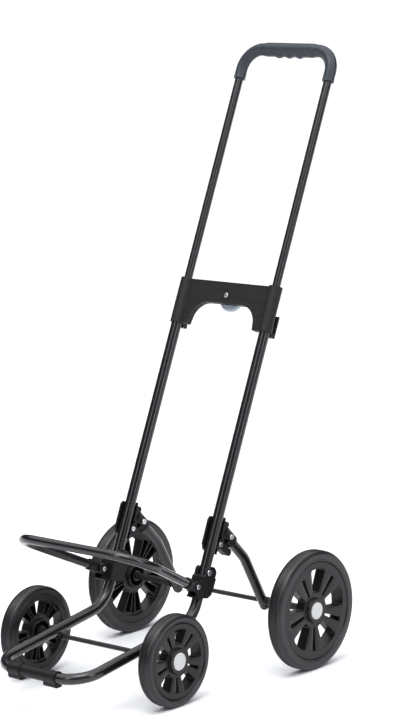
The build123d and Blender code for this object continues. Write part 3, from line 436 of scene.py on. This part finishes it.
def wheel_centre(wheel):
    """Moulded centre: rim flange, five pairs of crowned and dished spokes, and a stepped hub."""
    k = wheel.scale
    window, slot = wheel_holes(k)
    rim_in, rim_out = RIM_IN * k, wheel.radius * RIM_RATIO - RIM_CLEARANCE
    hub_edge = HUB_R + HUB_STEP
    radii = {BUSH_R, CAP_R + MARGIN, CAP_R + CAP_STEP, HUB_R, hub_edge, rim_in + WALL_STEP, rim_out}
    radii |= {round(r, 7) for r in window.stations() + slot.stations()}
    reach = slot.high - window.low
    radii |= {round(window.low + reach * i / SPOKE_RINGS, 7) for i in range(1, SPOKE_RINGS)}
    radii |= {(rim_in + rim_out) / 2, rim_out - RIM_CHAMFER}
    radii |= {POCKET_LOW, POCKET_LOW + WALL_STEP, POCKET_HIGH - WALL_STEP, POCKET_HIGH}
    spoke_low, spoke_high = window.low + SPOKE_END, slot.high - SPOKE_END
    radii |= {spoke_low, spoke_low + HOLLOW_STEP, spoke_high, spoke_high - HOLLOW_STEP}
    radii = sorted(radii)
    radii = [r for i, r in enumerate(radii) if i == 0 or r - radii[i - 1] > NEAR_RINGS]

    def front(radius, across):
        """How far in the front face lies; across runs -1..1 over a spoke."""
        if radius <= CAP_R + CAP_STEP / 2:
            return RECESS
        if radius <= HUB_R + TINY:
            return FACE_GAP
        if radius > rim_out - RIM_CHAMFER / 2:
            return RIM_SET_BACK + RIM_CHAMFER
        along = min(max((rim_in - radius) / (rim_in - hub_edge), 0.0), 1.0)
        in_spoke = window.low < radius < slot.high
        return RIM_SET_BACK + DISH * along**1.3 + (CROWN * across * across if in_spoke else 0.0)

    def back(radius, across):
        """How far in the rear face lies: hub and spokes are shells, open at the back."""
        if POCKET_LOW < radius < POCKET_HIGH:
            return RECESS + HUB_FLOOR
        if radius <= HUB_R + TINY:
            return wheel.width
        if radius > rim_in + MARGIN:
            return wheel.width - RIM_SET_BACK
        if spoke_low < radius < spoke_high and abs(across) < WALL_ACROSS:
            return front(radius, across) + SHELL
        return wheel.width - SPOKE_SET_BACK

    # One sector's lines, from the middle of a window: (span, position in it, across the spoke)
    half_turn = math.pi / SPOKE_PAIRS
    lines = [("window", u / 2, 1.0) for u in range(-2, 2)]
    lines += [("first", u, 2 * u - 1) for u in SPOKE_LINES]
    lines += [("slot", u / 2, 1.0) for u in (-2, 0)]
    lines += [("second", u, 2 * u - 1) for u in SPOKE_LINES]

    def angle(radius, span, position):
        """Angle of a line from the middle of its sector's window."""
        open_half = window.half(radius) / radius
        slot_half = slot.half(radius) / radius
        if span == "window":
            return position * open_half
        if span == "slot":
            return half_turn + position * slot_half
        if span == "first":
            return open_half + position * (half_turn - slot_half - open_half)
        start = half_turn + slot_half
        return start + position * (2 * half_turn - open_half - start)

    bm = bmesh.new()
    per_sector = len(lines)
    front_grid, back_grid = [], []
    for radius in radii:
        front_ring, back_ring = [], []
        for sector in range(SPOKE_PAIRS):
            for span, position, across in lines:
                turn = WINDOW_AT + 2 * half_turn * sector + angle(radius, span, position)
                front_ring.append(bm.verts.new(wheel.point(front(radius, across), radius, turn)))
                back_ring.append(bm.verts.new(wheel.point(back(radius, across), radius, turn)))
        front_grid.append(front_ring)
        back_grid.append(back_ring)

    count = per_sector * SPOKE_PAIRS
    opening = {"window": window, "slot": slot}

    def kept(i, j):
        """True where the face between rings i, i+1 and lines j, j+1 is solid."""
        hole = opening.get(lines[j % per_sector][0])
        return hole is None or not hole.spans(radii[i], radii[i + 1])

    last = len(radii) - 1
    for i in range(last):
        for j in range(count):
            if not kept(i, j):
                continue
            k2 = (j + 1) % count
            for grid in (front_grid, back_grid):
                bm.faces.new((grid[i][j], grid[i][k2], grid[i + 1][k2], grid[i + 1][j]))
            sides = []
            if not kept(i, (j - 1) % count):
                sides.append(((i, j), (i + 1, j)))
            if not kept(i, k2):
                sides.append(((i, k2), (i + 1, k2)))
            if i == 0 or not kept(i - 1, j):
                sides.append(((i, j), (i, k2)))
            if i == last - 1 or not kept(i + 1, j):
                sides.append(((i + 1, j), (i + 1, k2)))
            for (a, b), (c, d) in sides:
                bm.faces.new((front_grid[a][b], front_grid[c][d], back_grid[c][d], back_grid[a][b]))
    return bm


CAP_RISE = 1.5 * MM  # how far the dome stands out of the wheel's outer face
CAP_FALL = 1.1 * MM  # how far the dome falls from its middle to its rounded edge
CAP_SKIRT = 4.2 * MM
CAP_WALL = 1.6 * MM
CAP_UNDER = 0.8 * MM  # depth of the dome's underside
CAP_EDGE = 0.25 * MM
CAP_DRAFT = 0.2 * MM  # lean of the skirt's inner side
CAP_STEPS = 8
CENTRE = 0.02 * MM  # radius of the pinhole at a turned shape's middle


def cap_profile():
    """Shallow domed cap: centre to edge, down its skirt and back underneath."""
    points = []
    for i in range(CAP_STEPS + 1):
        share = i / CAP_STEPS
        points.append((-CAP_RISE + CAP_FALL * share**4, CENTRE + (CAP_R - CAP_EDGE) * share))
    points += [(FACE_GAP, CAP_R), (CAP_SKIRT, CAP_R), (CAP_SKIRT, CAP_R - CAP_WALL)]
    return points + [(CAP_UNDER, CAP_R - CAP_WALL - CAP_DRAFT), (CAP_UNDER, CENTRE)]


for spot in ("front", "rear"):
    for side in ("left", "right"):
        wheel = Wheel(spot, side)
        tag = f"{spot}_{side}"
        tyre = lathe(wheel, tyre_profile(wheel), 160)
        finished_piece(f"tyre_{tag}", tyre, wheel.body, "tyre_rubber", f"{spot}_tyre_{side}")
        centre_node = f"{spot}_wheel_centre_{side}"
        moulding = wheel_centre(wheel)
        piece = finished_piece(f"spokes_{tag}", moulding, wheel.body, "wheel_plastic", centre_node)
        rounding = piece.modifiers.new("rounding", "BEVEL")
        rounding.width = 0.45 * MM
        rounding.segments = 2
        rounding.angle_limit = math.radians(50)
        rounding.use_clamp_overlap = True
        cap = lathe(wheel, cap_profile(), 64)
        finished_piece(f"cap_{tag}", cap, wheel.body, "cap_white", f"{spot}_hub_cap_{side}")

# ---------------------------------------------------------------- grip
LEAN = math.radians(24.55)
UP_TUBE = Vector((0, math.sin(LEAN), math.cos(LEAN)))
BEHIND = Vector((0, math.cos(LEAN), -math.sin(LEAN)))
HANDLE_R = 7.0 * MM
GRIP_LEG_R = 10.4 * MM
GRIP_BAR_R = 11.8 * MM
GRIP_DROP = 54.0 * MM  # from the bar's axis down to the cuff
CORNER_R = 37.0 * MM
SWELL_RUN = 10.0 * MM  # length of the step up to the thicker middle
RIDGE_PITCH = 22.5 * MM
RIDGE_HALF = 8.5 * MM
RIDGE_RISE = 2.6 * MM
BAR_STEPS, CORNER_STEPS, LEG_STEPS = 24, 16, 8  # rings along half the bar, a corner and a leg
AROUND = 48  # points round the section
GRIP_CLEARANCE = 0.05 * MM
CUFF_RISE, CUFF_RUN = 0.35 * MM, 2.6 * MM  # raised rim at each end of the grip
SQUARENESS = 3.4  # exponent of the section: 2 is round
CORNER_REACH = 1.10  # how far the section's edges stand out, over its flats
FLAT_SHARE = 0.94  # flats over the nominal radius
EDGE_TURN = math.pi / 4  # puts the section's edges at the top, bottom, front and back

_, grip_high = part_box("grip")
bar_middle = Vector((0, grip_high.y - GRIP_BAR_R, grip_high.z - GRIP_BAR_R))
leg_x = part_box("handle_tube")[1].x - HANDLE_R


def grip_path():
    """(x, height above the bar's axis, x share and height share of the tangent) along the U."""
    flat = leg_x - CORNER_R
    right = []
    for i in range(BAR_STEPS + 1):
        right.append((flat * i / BAR_STEPS, 0.0, 1.0, 0.0))
    for i in range(1, CORNER_STEPS + 1):
        turn = math.pi / 2 * i / CORNER_STEPS
        x = flat + CORNER_R * math.sin(turn)
        right.append((x, -CORNER_R + CORNER_R * math.cos(turn), math.cos(turn), -math.sin(turn)))
    leg = GRIP_DROP - CORNER_R
    for i in range(1, LEG_STEPS + 1):
        right.append((leg_x, -CORNER_R - leg * i / LEG_STEPS, 0.0, -1.0))
    left = [(-x, h, tx, -th) for x, h, tx, th in reversed(right[1:])]
    return left + right


def ridge(x):
    """Rise of the finger ridges under the bar at x."""
    rise = 0.0
    for k in (-1, 0, 1):
        off = abs(x - k * RIDGE_PITCH)
        if off < RIDGE_HALF:
            rise = max(rise, math.cos(math.pi / 2 * off / RIDGE_HALF) ** 1.4)
    return RIDGE_RISE * rise


def grip_mesh():
    """Soft grip swept along the U: squarish section, thicker middle, finger ridges, cuffed ends."""
    bm = bmesh.new()
    path = grip_path()
    outer, inner = [], []
    for x, height, along_x, along_up in path:
        middle = bar_middle + Vector((x, 0, 0)) + UP_TUBE * height
        outward = UP_TUBE * along_x - Vector((along_up, 0, 0))
        swell = min(max((leg_x - CORNER_R - abs(x)) / SWELL_RUN, 0.0), 1.0)
        radius = GRIP_LEG_R + (GRIP_BAR_R - GRIP_LEG_R) * swell * swell * (3 - 2 * swell)
        to_end = GRIP_DROP + height
        cuff = CUFF_RISE if to_end < CUFF_RUN else 0.0
        outer_ring, inner_ring = [], []
        for j in range(AROUND):
            turn = 2 * math.pi * j / AROUND
            c, s = math.cos(turn), math.sin(turn)
            a, b = abs(math.cos(turn + EDGE_TURN)), abs(math.sin(turn + EDGE_TURN))
            square = (a**SQUARENESS + b**SQUARENESS) ** (-1 / SQUARENESS)
            size = (radius * FLAT_SHARE + cuff) * min(square, CORNER_REACH)
            under = max(-c, 0.0) ** 1.5
            size += ridge(x) * under if height == 0.0 else 0.0
            ray = outward * c + BEHIND * s
            outer_ring.append(bm.verts.new(middle + ray * size))
            inner_ring.append(bm.verts.new(middle + ray * (HANDLE_R + GRIP_CLEARANCE)))
        outer.append(outer_ring)
        inner.append(inner_ring)
    rings_to_faces(bm, outer, False)
    rings_to_faces(bm, inner, False)
    for end in (0, -1):
        for j in range(AROUND):
            k = (j + 1) % AROUND
            bm.faces.new((outer[end][j], outer[end][k], inner[end][k], inner[end][j]))
    return bm


finished_piece("hand_grip", grip_mesh(), "handle", "grip_soft", "grip")

# ---------------------------------------------------------------- studio
FLOOR_HALF = 120.0
FLOOR_DROP = 0.2 * MM  # keeps the floor just clear of the tyres
floor_mesh = bpy.data.meshes.new("floor")
corners = [(x * FLOOR_HALF, y * FLOOR_HALF) for x, y in ((-1, -1), (1, -1), (1, 1), (-1, 1))]
floor_mesh.from_pydata([(x, y, cad_low.z - FLOOR_DROP) for x, y in corners], [], [(0, 1, 2, 3)])
floor = bpy.data.objects.new("floor", floor_mesh)
bpy.context.scene.collection.objects.link(floor)
pale = Finish("pale_floor", (0.85, 0.855, 0.87))
pale.shader.inputs["Roughness"].default_value = 0.75
pale.shader.inputs["Specular IOR Level"].default_value = 0.2
floor_mesh.materials.append(pale.material)


def soft_box(name, place, aim, size, power, tint=(1.0, 1.0, 1.0)):
    """A rectangular studio light that points at a spot."""
    data = bpy.data.lights.new(name, "AREA")
    data.shape = "RECTANGLE"
    data.size, data.size_y = size
    data.energy = power
    data.color = tint
    lamp = bpy.data.objects.new(name, data)
    lamp.location = place
    lamp.rotation_mode = "QUATERNION"
    lamp.rotation_quaternion = (Vector(aim) - Vector(place)).to_track_quat("-Z", "Y")
    bpy.context.scene.collection.objects.link(lamp)


AIM = (0.0, 0.0, 0.45)
soft_box("left_box", (0.1, -3.4, 2.0), AIM, (0.7, 2.4), 22, (0.94, 0.97, 1.0))
soft_box("right_box", (3.4, -0.5, 2.0), AIM, (0.9, 2.4), 30, (0.94, 0.97, 1.0))
soft_box("top_box", (0.5, -1.0, 2.9), AIM, (1.5, 1.5), 40, (0.95, 0.98, 1.0))

world = bpy.data.worlds.new("studio")
bpy.context.scene.world = world
world.use_nodes = True
sky = world.node_tree
backdrop = sky.nodes["Background"]
direction = sky.nodes.new("ShaderNodeTexCoord")
split = sky.nodes.new("ShaderNodeSeparateXYZ")
ramp = sky.nodes.new("ShaderNodeValToRGB")
ramp.color_ramp.elements[0].position = 0.0
ramp.color_ramp.elements[0].color = (0.42, 0.42, 0.42, 1.0)
ramp.color_ramp.elements[1].position = 1.0
ramp.color_ramp.elements[1].color = (1.0, 1.0, 1.0, 1.0)
for position, level in ((0.04, 0.42), (0.09, 0.02), (0.50, 0.03), (0.68, 0.62)):
    stop = ramp.color_ramp.elements.new(position)
    stop.color = (level, level, level * 1.03, 1.0)
sky.links.new(direction.outputs["Generated"], split.inputs["Vector"])
sky.links.new(split.outputs["Z"], ramp.inputs["Fac"])
sky.links.new(ramp.outputs["Color"], backdrop.inputs["Color"])
backdrop.inputs["Strength"].default_value = 2.5

# ---------------------------------------------------------------- camera
# The viewing angle: 41 degrees to the right of the front, 10 degrees up, with a slight roll.
CAMERA_PLACE = Vector((2.9703, -3.3086, 1.3170))
CAMERA_RIGHT = Vector((0.75699, 0.65274, -0.02988))
CAMERA_UP = Vector((-0.09363, 0.15361, 0.98374))
camera_data = bpy.data.cameras.new("camera")
camera_data.lens = 137.2
camera_data.sensor_width = 36.0
camera_data.clip_end = 400.0
camera = bpy.data.objects.new("camera", camera_data)
bpy.context.scene.collection.objects.link(camera)
turned = Matrix((CAMERA_RIGHT, CAMERA_UP, CAMERA_RIGHT.cross(CAMERA_UP))).transposed()
camera.matrix_world = Matrix.Translation(CAMERA_PLACE) @ turned.to_4x4()
bpy.context.scene.camera = camera
bpy.context.scene.view_settings.view_transform = "Standard"

bpy.context.view_layer.update()
